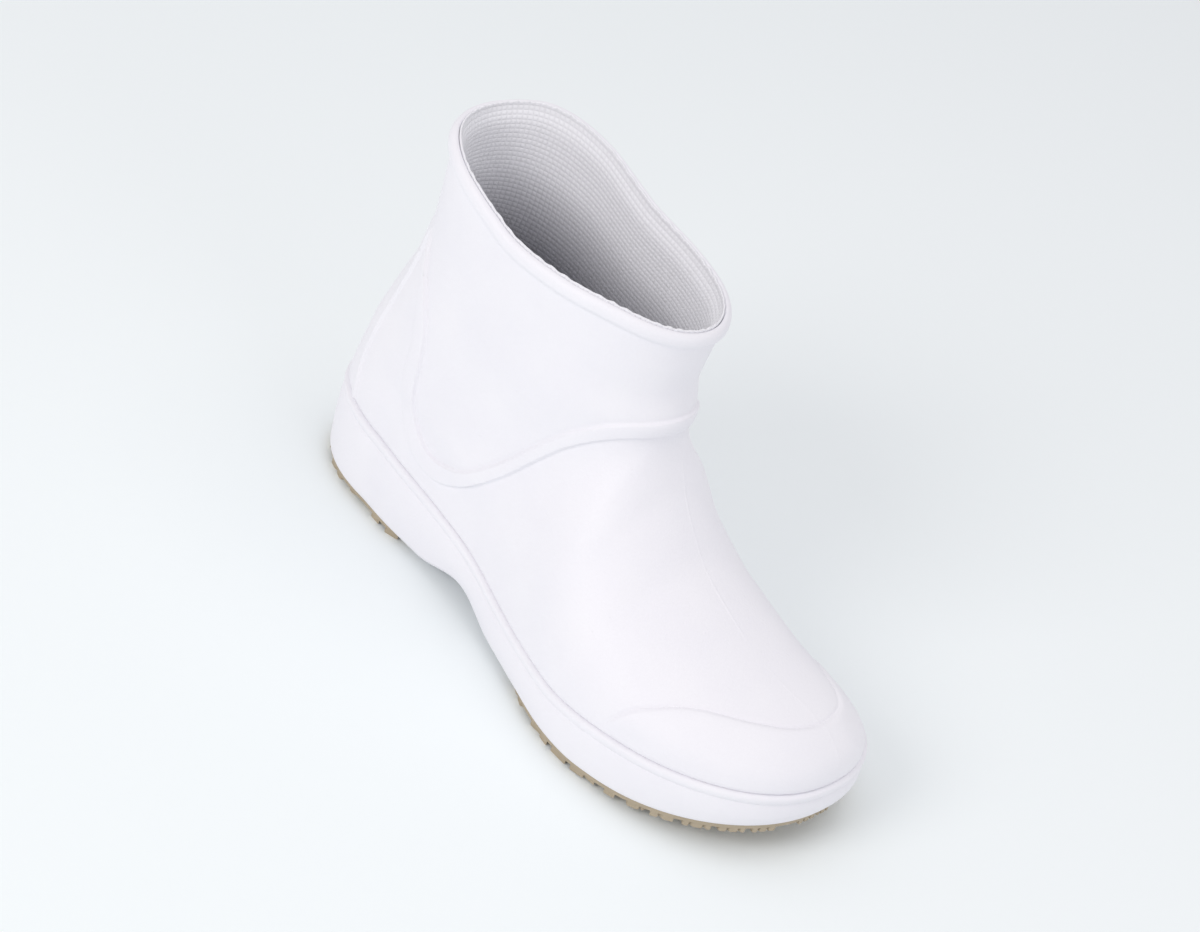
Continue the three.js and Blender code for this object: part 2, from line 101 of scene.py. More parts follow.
def table(**columns):
    return {name: np.array(values, float) for name, values in columns.items()}


outline = table(
    at=[0, 0.155, 0.228, 0.31, 0.393, 0.483, 0.579, 0.655, 0.714, 0.766, 0.834, 0.941, 1],
    half=[35.5, 35.5, 36, 33.47, 32, 36.48, 46.48, 52.98, 55.55, 56, 56, 56, 56],
    mid=[0.45, 0.45, -0.45, -3.02, -5.04, -6.05, -4.03, -3.36, -2.46, -0.9, 1.01, 5.04, 6.94],
)
sideWall = table(
    at=[0, 0.138, 0.276, 0.414, 0.517, 0.638, 0.741, 0.879, 1],
    crease=[41.5, 38.51, 34.03, 26.55, 22.5, 23.49, 26.81, 30.01, 32.3],
    bed=[21, 20.37, 18.06, 9.45, 10.5, 10.5, 10.5, 9.98, 9.03],
)
ridge = table(
    at=[0.34, 0.448, 0.517, 0.569, 0.59, 0.614, 0.659, 0.693, 0.759, 0.817, 0.876, 0.931, 1],
    top=[112.1, 114.46, 115.64, 109.15, 102.07, 92.04, 79.65, 72.22, 64.48, 59.02, 54.6, 52, 49.92],
)
shaft = table(
    at=[0.229, 0.387, 0.497, 0.608, 0.674, 0.746, 0.829, 0.912, 1],
    back=[1.49, 7.01, 12.99, 19.6, 22.54, 24.5, 24.99, 24.99, 24.5],
    long=[126.48, 134.94, 141.99, 143.82, 144.38, 138.89, 139.59, 140.86, 141.56],
    half=[34.02, 34.83, 35.64, 36.61, 37.18, 37.91, 38.96, 40.01, 40.5],
)
innerLean = table(
    at=[0.55, 0.603, 0.655, 0.707, 0.759, 0.81, 0.862, 0.914, 0.966, 1],
    lean=[0, 0.06, 0.07, 0.1, 0.165, 0.195, 0.165, 0.11, 0.03, 0],
)
topLine = table(
    at=[0, 0.1, 0.28, 0.39, 0.5, 0.7, 0.85, 1],
    top=[181, 182.45, 177.92, 173.4, 169.42, 168.33, 168.33, 166.52],
    lean=[3.98, 3.44, 0.54, -1.45, -2.17, -3.44, -4.34, -3.44],
)


def along(rows, column, at):
    # Value of a column on a smooth curve through the table's rows
    keys, values = rows["at"], rows[column]
    end = len(keys) - 1
    place = np.clip(at, keys[0], keys[-1])
    i = np.clip(np.searchsorted(keys, place, side="left") - 1, 0, end - 1)
    before = np.maximum(np.arange(end + 1) - 1, 0)
    after = np.minimum(np.arange(end + 1) + 1, end)
    slope = (values[after] - values[before]) / (keys[after] - keys[before])
    step = keys[i + 1] - keys[i]
    t = (place - keys[i]) / step
    fromFirst = (1 + 2 * t) * (1 - t) ** 2 * values[i] + t * (1 - t) ** 2 * step * slope[i]
    return fromFirst + t * t * (3 - 2 * t) * values[i + 1] - t * t * (1 - t) * step * slope[i + 1]


def ease(t):
    c = np.clip(t, 0, 1)
    return c * c * (3 - 2 * c)


def endRound(distance, reach, roundness):
    base = 1 - np.maximum(distance / reach, 0) ** roundness
    return np.sign(base) * np.abs(base) ** (2 / roundness)


def creaseAt(x):
    return along(sideWall, "crease", x / last["length"])


def middleAt(x):
    return along(outline, "mid", x / last["length"])


def planSquare(x, inset):
    # Squared half width of the sole seen from above, drawn in by inset
    length = last["length"]
    p = (x - inset) / (length - 2 * inset) * length
    half = along(outline, "half", p / length) - inset
    heel = endRound(last["heelRound"] - p, last["heelRound"], last["heelCurve"])
    toe = endRound(p - (length - last["toeRound"]), last["toeRound"], last["toeCurve"])
    return half * half * np.minimum(heel, toe)


def underside(x):
    t = np.maximum((x - last["springStart"]) / (last["length"] - last["springStart"]), 0)
    a = np.clip((x - last["archStart"]) / (last["archEnd"] - last["archStart"]), 0, 1)
    return last["foamBottom"] + last["toeSpring"] * t * t + last["archRise"] * np.sin(np.pi * a) ** 2


def footRise(x, inset):
    # Height of the foot part over the crease, which falls away at the toe
    front = last["length"] - last["inset"] - inset
    fall = endRound(x - (front - last["toeFront"]), last["toeFront"], last["vampCurve"])
    return (along(ridge, "top", x / last["length"]) - inset - creaseAt(x)) * np.sqrt(np.maximum(fall, 0))


def footSquare(x, z, inset):
    back = along(shaft, "back", z / last["collarHeight"]) - shaft["back"][0]
    shifted = x - back * (1 - ease(x / last["heelCordReach"]))
    plan = planSquare(shifted, last["inset"] + inset)
    t = np.clip((z - creaseAt(x)) / np.maximum(footRise(x, inset), 0.01), 0, 3)
    return np.where(plan <= 0, plan, plan * (1 - t ** last["vampCurve"]))


def shaftSquare(x, z, inset):
    at = z / last["collarHeight"]
    halfLong = along(shaft, "long", at) / 2 - inset
    centre = along(shaft, "back", at) + halfLong + inset
    half = along(shaft, "half", at) - inset
    fade = 1 - ease((z - creaseAt(x)) / last["shaftFadeHeight"])
    oval = 1 - np.abs((x - centre) / halfLong) ** last["shaftCurve"]
    return half * half * (oval - last["shaftFadeDepth"] * fade)


def upperSquare(x, z, inset):
    # Squared half width of the upper: the larger of foot and shaft, with a soft hollow where they meet
    foot, leg = footSquare(x, z, inset), shaftSquare(x, z, inset)
    long = last["collarLength"]
    throat = ease((x - last["collarBack"] - last["throatFrom"] * long) / (last["throatReach"] * long))
    soft = (last["ankleHollow"] + last["throatHollow"] * throat) * (last["collarWidth"] / 2) ** 2
    near = np.maximum(soft - np.abs(foot - leg), 0) / soft
    return np.maximum(foot, leg) + 0.25 * near * near * soft


def upperMiddle(x, z):
    return middleAt(x) * (1 - ease((z - last["heelWall"]) / (0.5 * last["instep"])))


def sideShare(x, z, inner):
    # Share of its half width that the vamp keeps: the inner side leans in halfway up, the outer side
    # is rounder
    t = np.clip((z - creaseAt(x)) / np.maximum(footRise(x, 0), 1), 0, 1)
    lean = along(innerLean, "lean", x / last["length"]) * np.sin(np.pi * t) ** last["leanCurve"]
    whole = 1.0001
    rounder = np.sqrt((whole - t ** last["outerCurve"]) / (whole - t ** last["vampCurve"]))
    fade = ease((x - last["outerFrom"]) / last["outerReach"])
    return np.where(inner, 1 - lean, 1 - fade * (1 - rounder))


def levelOf(x, up, lift):
    # Height of a line round the upper: up is its share of the way from the crease to the bead
    top = along(topLine, "top", (x - last["collarBack"]) / last["collarLength"]) - last["bead"]
    crease = creaseAt(x)
    return crease + up * (top - crease) + lift


def endsOf(up, lift, inset):
    # Back and front end of each line round the upper, found by halving
    rows, place = np.unique(np.round(np.stack([up, lift, inset], 1), 5), axis=0, return_inverse=True)
    ends = []
    for outside in (-last["length"], 2 * last["length"]):
        near = np.full(len(rows), last["collarBack"] + 0.5 * last["collarLength"])
        far = np.full(len(rows), float(outside))
        for _ in range(38):
            m = (near + far) / 2
            inside = upperSquare(m, levelOf(m, rows[:, 0], rows[:, 1]), rows[:, 2]) > 0
            near = np.where(inside, m, near)
            far = np.where(inside, far, m)
        ends.append(near[place.ravel()])
    return ends


def upperPoint(turn, up, lift, inset):
    back, front = endsOf(up, lift, inset)
    share = (1 - np.cos(turn)) / 2
    x = back + (front - back) * share
    z = levelOf(x, up, lift) - np.sin(turn) * along(topLine, "lean", share) * up ** 4
    # Both ends of a line meet exactly on the middle line at the heel
    side = -np.sign(np.round(np.sin(turn), 6))
    half = np.sqrt(np.maximum(upperSquare(x, z, inset), 0)) * sideShare(x, z, side > 0)
    return np.stack([x, upperMiddle(x, z) + side * half, z], 1)


def solePoint(turn, inset, height, spread=1.0):
    # A line round the sole unit at one inset; spread draws it in to the middle line
    x = inset + (last["length"] - 2 * inset) * (1 - np.cos(turn)) / 2
    half = np.sqrt(np.maximum(planSquare(x, inset), 0)) * spread
    return np.stack([x, middleAt(x) - np.sign(np.sin(turn)) * half, height(x)], 1)


low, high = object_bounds()
shift = np.array([
    (low[0] + high[0]) / 2 / millimetre - last["middle"][0],
    (low[1] + high[1]) / 2 / millimetre - last["middle"][1],
    low[2] / millimetre,
])


def sheetGrid(columns, rows):
    # Flat sheet: x is the turn round the boot, y the way along the profile in mm
    bm = bmesh.new()
    bmesh.ops.create_grid(bm, x_segments=columns, y_segments=len(rows) - 1, size=0.5)
    flat = np.array([v.co[:] for v in bm.verts])
    ways = np.interp((flat[:, 1] + 0.5) * (len(rows) - 1), np.arange(len(rows)), rows)
    for vert, turn, way in zip(bm.verts, flat[:, 0] + 0.5, ways):
        vert.co = (turn * 2 * math.pi, way, 0)
    return bm


def flatOf(bm):
    flat = np.array([v.co[:] for v in bm.verts])
    return flat[:, 0], flat[:, 1]


def refine(bm, place, longest, passes):
    # Splits the edges that are longer than a detail near them needs
    for _ in range(passes):
        bm.verts.index_update()
        turn, way = flatOf(bm)
        points = place(turn, way)
        edges = list(bm.edges)
        ends = np.array([[e.verts[0].index, e.verts[1].index] for e in edges])
        span = np.linalg.norm(points[ends[:, 0]] - points[ends[:, 1]], axis=1)
        centre = (points[ends[:, 0]] + points[ends[:, 1]]) / 2
        wanted = longest(centre, (way[ends[:, 0]] + way[ends[:, 1]]) / 2)
        chosen = [e for e, far in zip(edges, span > wanted) if far]
        if not chosen:
            return
        bmesh.ops.subdivide_edges(bm, edges=chosen, cuts=1, use_grid_fill=True, use_single_edge=True)
        bmesh.ops.triangulate(bm, faces=[f for f in bm.faces if len(f.verts) > 4])


def closeSkin(bm, points, name, uv=None):
    # Puts the sheet in its place in the boot, closes its seams and makes the object
    placed = (points + shift) * millimetre
    if uv is not None:
        layer = bm.loops.layers.uv.new("weave")
        bm.verts.index_update()
        for face in bm.faces:
            for loop in face.loops:
                loop[layer].uv = uv[loop.vert.index]
    for vert, spot in zip(bm.verts, placed):
        vert.co = spot
    bmesh.ops.remove_doubles(bm, verts=bm.verts, dist=2e-6)
    bmesh.ops.dissolve_degenerate(bm, edges=bm.edges, dist=1e-7)
    bmesh.ops.recalc_face_normals(bm, faces=bm.faces)
    return newObject(bm, name)


def newObject(bm, name, smooth=True):
    openEdges = sum(1 for e in bm.edges if not e.is_manifold)
    for face in bm.faces:
        face.smooth = smooth
    mesh = bpy.data.meshes.new(name)
    bm.to_mesh(mesh)
    bm.free()
    piece = bpy.data.objects.new(name, mesh)
    bpy.context.scene.collection.objects.link(piece)
    triangles = sum(len(p.vertices) - 2 for p in mesh.polygons)
    print(name, triangles, "triangles,", openEdges, "open edges")
    return piece


def smoothLine(points, count):
    # Smooth curve through points, with further columns such as a width carried along
    points = np.array(points, float)
    reach = np.concatenate([[0], np.cumsum(np.hypot(*np.diff(points[:, :2], axis=0).T))])
    at = np.linspace(0, reach[-1], count)
    columns = [along({"at": reach, "v": column}, "v", at) for column in points.T]
    return np.stack(columns, 1)


def nearLine(line, a, b):
    # Distance of each point to a line, its side (1 is left of the way along it) and the third column there
    best = np.full(len(a), 1e9)
    side = np.ones(len(a))
    third = np.zeros(len(a))
    for start, end in zip(line[:-1], line[1:]):
        way = end[:2] - start[:2]
        t = np.clip(((a - start[0]) * way[0] + (b - start[1]) * way[1]) / (way @ way), 0, 1)
        da, db = a - start[0] - t * way[0], b - start[1] - t * way[1]
        far = np.hypot(da, db)
        closer = far < best
        best = np.where(closer, far, best)
        side = np.where(closer, np.sign(way[0] * db - way[1] * da), side)
        if len(start) > 2:
            third = np.where(closer, start[2] + t * (end[2] - start[2]), third)
    return best, side, third


print("upper")
upperLook = {
    "columns": 288,
    "rowStep": 2.0,
    "finest": 0.5,
    "bandStep": 1.4,
    "bandCrown": 0.3,
    "bandSoft": 0.9,
    "panelStep": 0.9,
    "panelBead": 0.4,
    "panelTop": 137,
    "panelFade": 9,
    "capStep": 1.1,
    "capSwell": 0.5,
    "cornerDepth": 0.15,
    "capInnerFrom": 16,
    "capInnerReach": 14,
    "partingHeight": 0.2,
    "partingWidth": 0.7,
    "partingFrom": 160,
}
# Band seen from the side: x, z and width, from a point beside the heel cord down and up to the throat
bandLine = smoothLine([
    (37.1, 135.1, 1.1), (42.9, 121.5, 4), (49, 110.6, 6.8), (54.5, 98.5, 8.4), (56.8, 86.7, 9),
    (57.7, 74, 9), (60.9, 62, 8.6), (66.7, 54.5, 8.3), (74, 49.3, 8.6), (82.9, 47.4, 9), (91.9, 50, 8.4),
    (103, 57.1, 6.5), (116.9, 72, 5.8), (127.6, 87, 5.5), (137.5, 100.7, 5.6), (148.5, 112, 5.9),
    (158.3, 118.9, 6.3), (174, 123.9, 6.8),
], 110)
panelLine = smoothLine([
    (29, 23.6), (26.1, 46), (23.5, 56), (23.5, 68), (24.4, 79), (27, 92), (30.2, 103.8), (33.9, 120),
    (36.8, 133),
], 50)
partingLine = smoothLine([
    (160, 8.4), (170, 7.5), (185, 5.4), (200, 4), (215, 3), (234, 2.4), (248, 3.6), (258, 6), (266, 8.2),
    (278, 9), (289, 8),
], 40)
# Edge of the toe cap in space, from the outer side over the toe to the inner side
capLine = smoothLine([
    (216, -59, 22.5), (219.2, -55.4, 28), (220.7, -54.8, 32.1), (222.7, -53.3, 35.9), (224.9, -51.3, 39.8),
    (228.8, -47.6, 43.6), (233.4, -43.4, 46.2), (238.5, -37.8, 48.6), (244.9, -31.7, 50.1),
    (251.8, -25.4, 50.2),
    (258.5, -18.8, 50), (265.7, -9.7, 49.4), (268.9, -3.8, 49), (271.1, 2.7, 48.6), (271.8, 8.5, 48.3),
    (271.4, 14.5, 48), (270, 20, 47.7), (268.2, 24, 47.4), (265, 27.5, 47.6), (260.5, 30, 48.3),
    (255, 31.3, 49.3),
    (249, 32.9, 49.2), (243.5, 35.6, 47.2), (238, 37.9, 44.6), (233.5, 40, 42), (229, 42.5, 39),
    (225, 45.2, 36),
    (222.5, 47.6, 33), (220.5, 49.6, 30), (219, 51.5, 27), (217, 54, 22),
], 120)


def bandDepth(points):
    # How far inside the band's edge each point lies, with the band's half width there
    far, _, width = nearLine(bandLine, points[:, 0], points[:, 2])
    return width / 2 - far, width / 2


def panelDepth(points):
    far, side, _ = nearLine(panelLine, points[:, 0], points[:, 2])
    return np.minimum(far * side, upperLook["panelTop"] - points[:, 2])


def capDepth(points):
    # How far inside the toe cap's edge each point lies, measured in space
    depth = np.full(len(points), -99.0)
    toe = points[:, 0] > 200
    spots = points[toe]
    normal = upperNormal(spots)
    far = np.full(len(spots), 99.0)
    side = np.zeros(len(spots))
    for start, end in zip(capLine[:-1], capLine[1:]):
        way = end - start
        t = np.clip((spots - start) @ way / (way @ way), 0, 1)
        away = spots - start - t[:, None] * way
        reach = np.linalg.norm(away, axis=1)
        inward = np.sign(np.einsum("ij,ij->i", np.cross(way, normal), away))
        side = np.where(reach < far, inward, side)
        far = np.minimum(far, reach)
    depth[toe] = far * side
    return depth


def partingDepth(points):
    line = np.interp(points[:, 0], partingLine[:, 0], partingLine[:, 1])
    onTop = (points[:, 0] > upperLook["partingFrom"]) & (points[:, 2] > creaseAt(points[:, 0]) + 6)
    return np.where(onTop, np.abs(points[:, 1] - line), 99.0)


def upperRelief(points):
    look = upperLook
    depth, half = bandDepth(points)
    crown = look["bandCrown"] * (1 - np.clip(1 - depth / np.maximum(half, 0.3), 0, 1) ** 2)
    strength = ease(half / 1.8)
    band = (look["bandStep"] * ease(depth / look["bandSoft"] + 0.35) + crown * (depth > 0)) * strength
    corner = look["cornerDepth"] * np.exp(-((depth + 0.9) / 0.5) ** 2) * strength
    inPanel = panelDepth(points)
    panel = look["panelStep"] * ease(inPanel / 1.2 + 0.3)
    panel += look["panelBead"] * np.exp(-((inPanel - 1.1) / 0.9) ** 2)
    panel *= ease((look["panelTop"] - points[:, 2]) / look["panelFade"])
    inCap = capDepth(points)
    # The cap's edge is crisp on the outer side and hardly raised on the inner side
    inner = ease((points[:, 1] - look["capInnerFrom"]) / look["capInnerReach"])
    start = ease((points[:, 2] - creaseAt(points[:, 0]) - 2) / 9)
    cap = look["capStep"] * (1 - 0.5 * inner) * ease(inCap / (1.6 + inner) + 0.2)
    cap += look["capSwell"] * (1 - inner) * ease(inCap / 3) * (1 - ease((inCap - 3) / 12))
    cap *= start
    corner += 2.3 * look["cornerDepth"] * start * (1 - 0.6 * inner) * np.exp(-((inCap + 0.6) / 0.5) ** 2)
    parting = look["partingHeight"] * np.exp(-(partingDepth(points) / (look["partingWidth"] / 2)) ** 2)
    parting *= 0.55 + 0.45 * np.sin(points[:, 0] / 9.0) * np.sin(points[:, 0] / 23.0 + 1)
    return np.maximum(np.maximum(band, panel), 0) + np.maximum(cap, 0) + parting - corner


def upperNormal(points):
    # Direction out of the upper's surface, from how its width changes
    x, y, z = points.T
    h = 0.2
    off = y - upperMiddle(x, z)
    inner = off > 0
    gradient = []
    for dx, dz in ((h, 0), (0, h)):
        ahead = upperSquare(x + dx, z + dz, 0) * sideShare(x + dx, z + dz, inner) ** 2
        behind = upperSquare(x - dx, z - dz, 0) * sideShare(x - dx, z - dz, inner) ** 2
        wider = ahead - behind
        aside = upperMiddle(x + dx, z + dz) - upperMiddle(x - dx, z - dz)
        gradient.append((-2 * off * aside - wider) / (2 * h))
    normal = np.stack([gradient[0], 2 * off, gradient[1]], 1)
    return normal / np.maximum(np.linalg.norm(normal, axis=1), 1e-9)[:, None]


def evenRows(step):
    # Shares from crease to bead, so that rows lie evenly along the front and back silhouettes
    up = np.linspace(0, 1, 500)
    none = np.zeros_like(up)
    ends = endsOf(up, none, none)
    reach = np.zeros(len(up) - 1)
    for x in ends:
        reach = np.maximum(reach, np.hypot(np.diff(x), np.diff(levelOf(x, up, none))))
    way = np.concatenate([[0], np.cumsum(reach)])
    count = int(way[-1] / step)
    return np.interp(np.linspace(0, way[-1], count + 1), way, up), way[-1]


def profileOf(rows):
    # Rows (way in mm, then columns) as functions of the way along the profile
    rows = np.array(rows, float)
    return lambda way: [np.interp(way, rows[:, 0], column) for column in rows[:, 1:].T]


ups, outerWay = evenRows(upperLook["rowStep"])
wayOf = np.linspace(0, outerWay, len(ups))
bead, out, wall = last["bead"], last["beadOut"], last["wall"]
beadRow = [(0.02, 0.1), (0.035, 0.35), (0.07, 0.6), (0.14, 0.82), (0.26, 0.97), (0.4, 1.02), (0.54, 1),
           (0.67, 0.93),
           (0.78, 0.8), (0.87, 0.62), (0.94, 0.38), (0.98, 0.12), (1, -0.12), (0.985, -0.38), (0.94, -0.55)]
# Inside of the rim: the wall thins towards the top, where the lining comes up
rimInside = [(0.8, 0.42), (0.6, 0.5), (0.35, 0.66), (0.1, 0.84), (-0.3, 1)]
upperRows = [(way, up, (last["seat"] + 0.5) * max(0, 1 - way / 6), 0) for way, up in zip(wayOf, ups)]
way = outerWay
lastSpot = (0, 0)
for lift, outward in beadRow:
    spot = (lift * bead, outward * out)
    way += max(0.35, math.hypot(spot[0] - lastSpot[0], spot[1] - lastSpot[1]))
    lastSpot = spot
    upperRows.append((way, 1, lift * bead, -outward * out))
for lift, share in rimInside:
    way += 1.2
    upperRows.append((way, 1, lift * bead, share * wall))
for up in np.linspace(0.96, 0.0, 30):
    way += 5
    upperRows.append((way, up, last["seat"] * (1 - up), wall))
for inset, lift in [(wall - 0.6, 0), (0.6, 0), (0.2, 0.15), (0, 0.5)]:
    way += 0.8
    upperRows.append((way, 0, last["seat"] + lift, inset))
upperProfile = profileOf(upperRows)


def upperPlace(turn, way):
    up, lift, inset = upperProfile(way)
    return upperPoint(turn, up, lift, inset)


def upperLongest(points, way):
    depth, half = bandDepth(points)
    near = np.minimum.reduce([
        np.where(half > 0.9, np.abs(depth), np.abs(depth) + 1),
        np.abs(panelDepth(points)),
        np.abs(capDepth(points)),
        partingDepth(points),
    ])
    allowed = upperLook["finest"] + 0.55 * np.maximum(near - 0.9, 0)
    return np.where((way > 0.01) & (way < outerWay - 0.5), allowed, 99.0)


def makeUpper():
    bm = sheetGrid(upperLook["columns"], [row[0] for row in upperRows])
    refine(bm, upperPlace, upperLongest, 3)
    turn, way = flatOf(bm)
    points = upperPlace(turn, way)
    outside = (way < outerWay - 0.5) & (way > 0)
    lift = upperRelief(points[outside])
    points[outside] += upperNormal(points[outside]) * lift[:, None]
    return closeSkin(bm, points, "upper_skin")


upper = makeUpper()
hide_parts("upper")
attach(upper, "root")

print("lining")
liningLook = {
    "columns": 256,
    "clear": 0.12,
    "thick": 0.8,
    "edge": 6.9,
    "wave": 0.35,
    "waves": 62,
}


def liningRows():
    # Out side upwards, over the edge, in side downwards, over the sole's lip to the bed, and back under
    look = liningLook
    near, far = last["wall"] + look["clear"], last["wall"] + look["clear"] + look["thick"]
    rows = []
    way = 0.0

    def add(step, *values):
        nonlocal way
        way += step
        rows.append((way, *values))

    add(0, 0, 0.6, near, 0, 0)
    for up in np.linspace(0.04, 0.96, 24):
        add(5, up, 0.6 * (1 - up), near, 0, 0)
    rim = [(lift * last["bead"], share * last["wall"] + look["clear"]) for lift, share in rimInside[::-1]]
    for lift, inset in rim:
        add(1.5, 1, lift, inset, 0, 0)
    top, thin = rim[-1][1] - 0.05, look["thick"]
    fold = [(-0.6, 0), (-0.15, 0.08), (0, 0.3 * thin), (0, 0.7 * thin), (-0.15, thin - 0.08), (-0.6, thin)]
    for lift, inset in fold:
        add(0.4, 1, look["edge"] + lift, top + inset, 0, 0)
    for lift, inset in rim[::-1]:
        add(1.5, 1, lift, inset + thin, 0, 0)
    for up in np.linspace(0.96, 0.02, 60):
        add(2.2, up, 0.9 * (1 - up), far, 0, 0)
    lip = 7.0 - last["inset"]
    add(2, 0, 1.6, far + 0.3, 0, 1)
    add(1, 0, 1.2, lip + 0.6, 0, 1)
    add(1, 0, 0.2, lip + 1.1, 0, 1)
    for drop in (0.2, 0.4, 0.6, 0.8, 1):
        add(3, 0, 0, lip + 1.1 + 0.9 * drop, drop, 1)
    add(1, 0, 0, lip + 1.3, 1, 1)
    for drop in (0.75, 0.5, 0.25, 0):
        add(4, 0, 0.3 * (drop == 0), lip + 0.3 + 0.9 * drop, drop, 1)
    add(1, 0, 0.6, near, 0, 1)
    add(0.2, 0, 0.6, near, 0, 0)
    return rows


liningSteps = liningRows()
liningProfile = profileOf(liningSteps)


def liningPlace(turn, way):
    up, lift, inset, drop, sole = liningProfile(way)
    edge = ease((lift - liningLook["edge"] + 2) / 1.5)
    wavy = lift + edge * liningLook["wave"] * np.sin(liningLook["waves"] * turn) * np.sin(7 * turn + 1)
    points = upperPoint(turn, up, wavy, inset)

    def height(x):
        bed = underside(x) + along(sideWall, "bed", x / last["length"]) + 2.7
        return (1 - drop) * creaseAt(x) + drop * bed + lift

    below = solePoint(turn, inset + last["inset"], height)
    return points * (1 - sole)[:, None] + below * sole[:, None]


def makeLining():
    look = liningLook
    ways = np.array([row[0] for row in liningSteps])
    bm = sheetGrid(look["columns"], [row[0] for row in liningSteps])
    turn, way = flatOf(bm)
    points = liningPlace(turn, way)
    # Weave coordinates in mm: the way round near the rim, and the way down on the outer side
    side = liningPlace(np.full(len(ways), 0.5 * math.pi), ways)
    down = np.concatenate([[0], np.cumsum(np.linalg.norm(np.diff(side, axis=0), axis=1))])
    down -= down[int(np.argmax(side[:, 2]))]
    ring = np.linspace(0, 2 * math.pi, 721)
    far = last["wall"] + look["clear"] + look["thick"]
    rim = upperPoint(ring, np.full(721, 0.95), np.zeros(721), np.full(721, far))
    arc = np.concatenate([[0], np.cumsum(np.linalg.norm(np.diff(rim, axis=0), axis=1))])
    uv = np.stack([np.interp(turn, ring, arc), np.interp(way, ways, down)], 1)
    return closeSkin(bm, points, "lining", uv)


lining = makeLining()
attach(lining, "root")

print("sole unit")
soleLook = {
    "columns": 320,
    "edgeRound": 1.4,
    "bulge": 0.3,
    "groove": 0.75,
    "grooveDrop": 4.6,
    "lip": 5.5,
    "bedRound": 2.5,
    "padBorder": 1.2,
    "padSunk": 2.5,
}


def soleRows():
    # way in mm, inset, share of the wall's height, lift, share of the bed's height, spread
    look = soleLook
    edge, bulge, groove, drop = look["edgeRound"], look["bulge"], look["groove"], look["grooveDrop"]
    lip = last["inset"] + look["lip"]
    seat = last["seat"]
    foot = -1.6 * drop
    corners = [
        (edge + 6, 0, 0, 0, 0), (edge + 3, 0, 0, 0, 0.6), (edge + 0.6, 0, 0, 0, 1), (edge, 0, 0, 0, 1),
        (0.62 * edge, 0, 0.2 * edge, 0, 1), (0.34 * edge, 0, 0.6 * edge, 0, 1),
        (0.16 * edge, 0, 1.3 * edge, 0, 1),
        (-0.2 * bulge, 0.25, 1.2 + 0.25 * foot, 0, 1), (-bulge, 0.5, 0.5 * foot, 0, 1),
        (-bulge, 0.75, 0.75 * foot, 0, 1),
        (-0.5 * bulge, 0.92, 0.92 * foot, 0, 1), (0.1 * groove, 1, -1.4 * drop, 0, 1),
        (0.4 * groove, 1, -1.2 * drop, 0, 1),
        (0.8 * groove, 1, -1.07 * drop, 0, 1), (groove, 1, -drop, 0, 1),
        (0.75 * groove, 1, -0.92 * drop, 0, 1),
        (0.2 * groove, 1, -0.82 * drop, 0, 1), (-0.1 * groove, 1, -0.68 * drop, 0, 1),
        (-0.6 * bulge, 1, -0.48 * drop, 0, 1),
        (-0.1 * bulge, 1, -0.3 * drop, 0, 1), (1.4 * bulge, 1, -0.17 * drop, 0, 1),
        (last["inset"], 1, -seat - 0.25, 0, 1),
        (last["inset"] + 0.6, 1, -seat, 0, 1), (lip - 0.5, 1, -seat, 0, 1),
        (lip - 0.1, 1, -seat - 0.15, 0, 1),
        (lip, 1, -seat - 0.6, 0, 1), (lip + 0.4 * look["bedRound"], 0, look["bedRound"], 1, 1),
        (lip + 0.65 * look["bedRound"], 0, 0.3 * look["bedRound"], 1, 1),
        (lip + look["bedRound"], 0, 0, 1, 1),
        (lip + look["bedRound"] + 1, 0, 0, 1, 1), (lip + look["bedRound"] + 6, 0, 0, 1, 0.6),
        (lip + look["bedRound"] + 10, 0, 0, 1, 0),
    ]
    rows = [(0, *corners[0])]
    for before, after in zip(corners, corners[1:]):
        rise = (after[1] - before[1]) * 27 + after[2] - before[2] + (after[3] - before[3]) * 12
        step = math.hypot(after[0] - before[0], rise) + 40 * abs(after[4] - before[4])
        rows.append((rows[-1][0] + max(step, 0.3), *after))
    return rows


def smoothProfile(rows, softest):
    # Even, finer rows through the corners, and the corners' columns on smooth curves
    rows = np.array(rows, float)
    ways = [rows[0, 0]]
    for a, b in zip(rows[:-1, 0], rows[1:, 0]):
        pieces = max(1, int(math.ceil((b - a) / softest)))
        ways.extend(a + (b - a) * (i + 1) / pieces for i in range(pieces))
    columns = [{"at": rows[:, 0], "v": column} for column in rows[:, 1:].T]
    return ways, lambda way: [along(column, "v", way) for column in columns]


def makeSole():
    ways, profile = smoothProfile(soleRows(), 3.0)

    def place(turn, way):
        inset, share, lift, bedShare, spread = profile(way)

        def height(x):
            bottom = underside(x)
            bed = along(sideWall, "bed", x / last["length"])
            return (1 - share) * bottom + share * creaseAt(x) + bedShare * bed + lift

        return solePoint(turn, inset, height, np.clip(spread, 0, 1))

    bm = sheetGrid(soleLook["columns"], ways)
    turn, way = flatOf(bm)
    piece = closeSkin(bm, place(turn, way), "sole_unit")
    for pad in pads.values():
        cutPocket(piece, pad)
    return piece


pads = {
    "heel": {"back": 1.9, "front": 87.2, "backRound": 1, "frontRound": 22},
    "forefoot": {"back": 145.8, "front": 288.1, "backRound": 38, "frontRound": 1},
}


